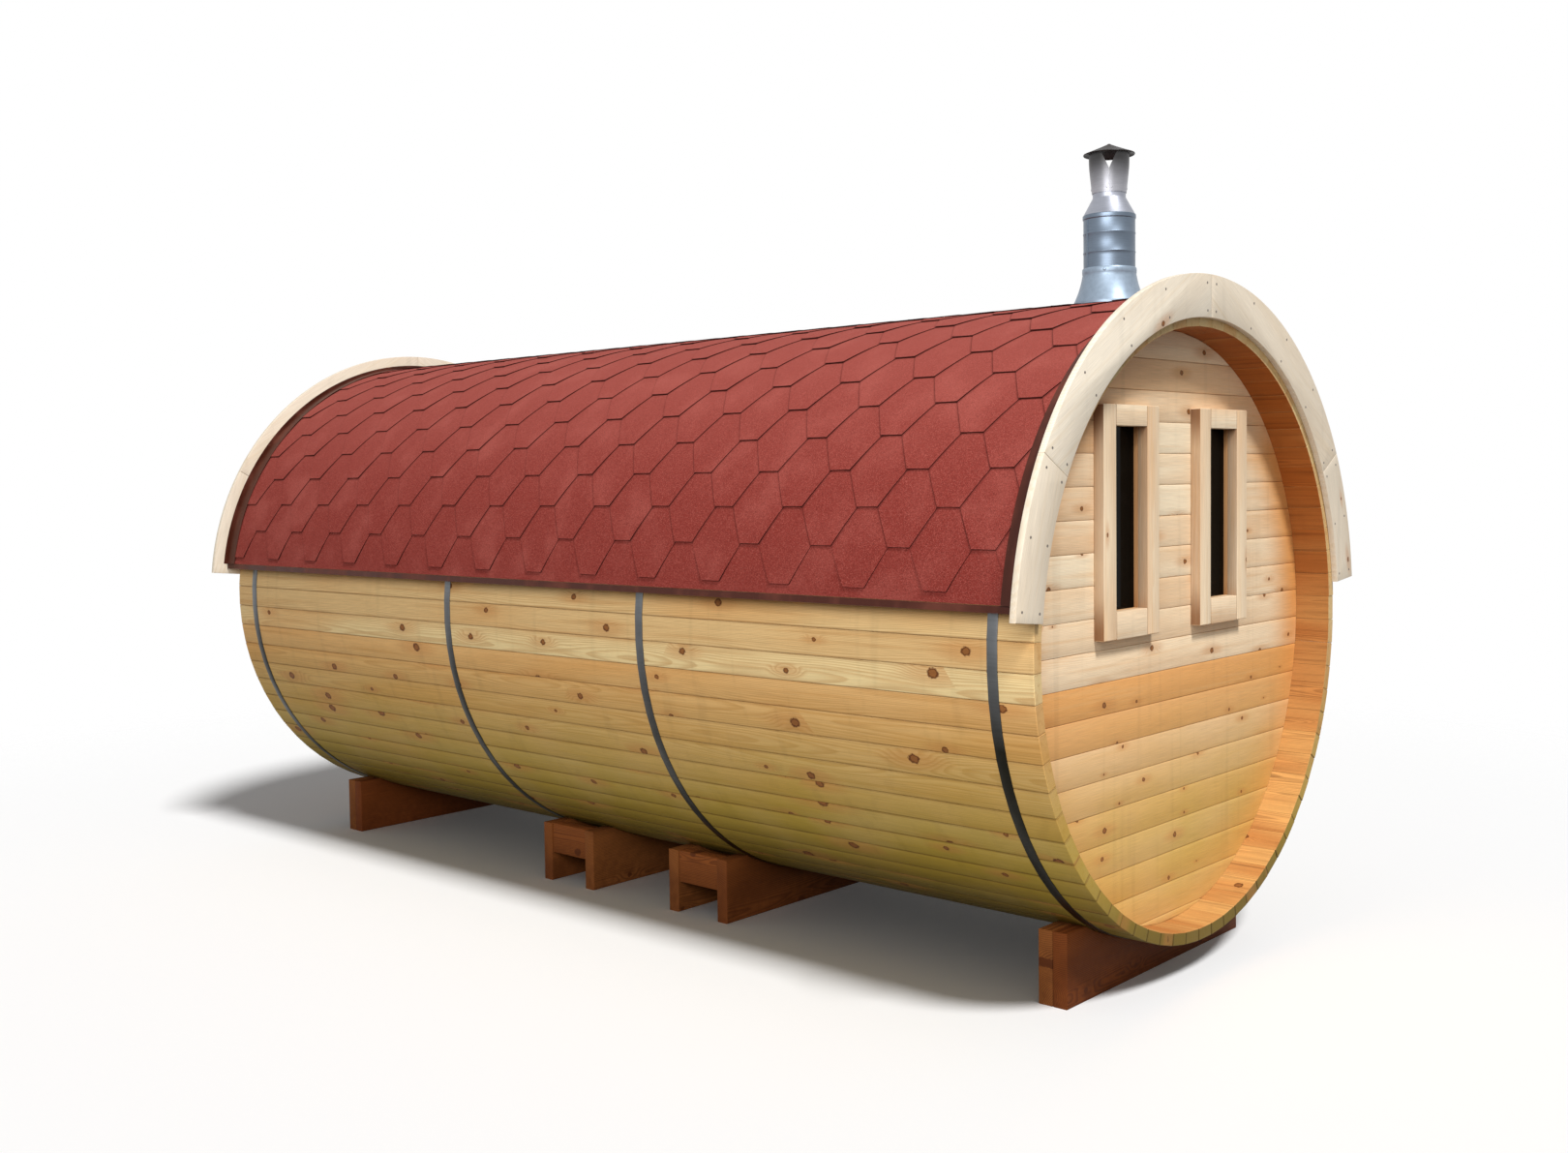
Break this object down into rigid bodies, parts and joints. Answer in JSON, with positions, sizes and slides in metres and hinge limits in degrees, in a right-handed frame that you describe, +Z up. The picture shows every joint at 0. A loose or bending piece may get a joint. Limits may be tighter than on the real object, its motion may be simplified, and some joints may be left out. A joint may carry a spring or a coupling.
{
  "type": "barrel sauna",
  "caption": "Garden sauna of bevelled wooden staves held in a lying barrel by steel hoops, on wooden cradles, with an arched shingle roof, board end walls and a capped chimney",
  "frame": {"origin": "centre of the footprint, on the ground under the cradles", "axes": "+Z up, +Y along the barrel away from the end with the two windows, +X to the right when facing that end"},
  "size_m": [2.5328, 4.8484, 3.0656],
  "materials": {
    "stave_wood": "planed pine, clear weatherproof oil",
    "wall_wood": "planed pine boards with knots",
    "frame_wood": "planed pale pine",
    "arch_wood": "planed pale spruce",
    "deck_wood": "sawn softwood",
    "cradle_wood": "red-brown wood stain",
    "shingle": "bitumen shingles with dusty red mineral grit",
    "flashing": "dark brown coated sheet",
    "hoop_steel": "plain stainless band",
    "chimney_steel": "satin stainless sheet",
    "collar_metal": "dull sheet",
    "cap_metal": "black heatproof coat",
    "dark_glass": "dark tinted pane"
  },
  "bodies": {
    "root": {"chimney_casing": "chimney_steel", "chimney_collar": "collar_metal", "door_frame": "frame_wood", "door_handle": "frame_wood", "door_leaf": "wall_wood", "door_ledges": "frame_wood", "flue_liner": "chimney_steel", "front_arch_boards": "arch_wood", "front_cradle": "cradle_wood", "front_hoop": "hoop_steel", "front_middle_cradle": "cradle_wood", "front_middle_hoop": "hoop_steel", "front_middle_spacers": "cradle_wood", "front_wall": "wall_wood", "left_drip_edge": "flashing", "left_roof_deck": "deck_wood", "left_window_frame": "frame_wood", "left_window_pane": "dark_glass", "rain_cap": "cap_metal", "rear_arch_boards": "arch_wood", "rear_cradle": "cradle_wood", "rear_hoop": "hoop_steel", "rear_middle_cradle": "cradle_wood", "rear_middle_hoop": "hoop_steel", "rear_middle_spacers": "cradle_wood", "rear_wall": "wall_wood", "right_drip_edge": "flashing", "right_roof_deck": "deck_wood", "right_window_frame": "frame_wood", "right_window_pane": "dark_glass", "roof_ribs": "deck_wood", "shingle_cover": "shingle", "staves_bottom": "stave_wood", "staves_left": "stave_wood", "staves_lower_left": "stave_wood", "staves_lower_right": "stave_wood", "staves_right": "stave_wood", "staves_top": "stave_wood", "staves_upper_left": "stave_wood", "staves_upper_right": "stave_wood"}
  },
  "joints": []
}
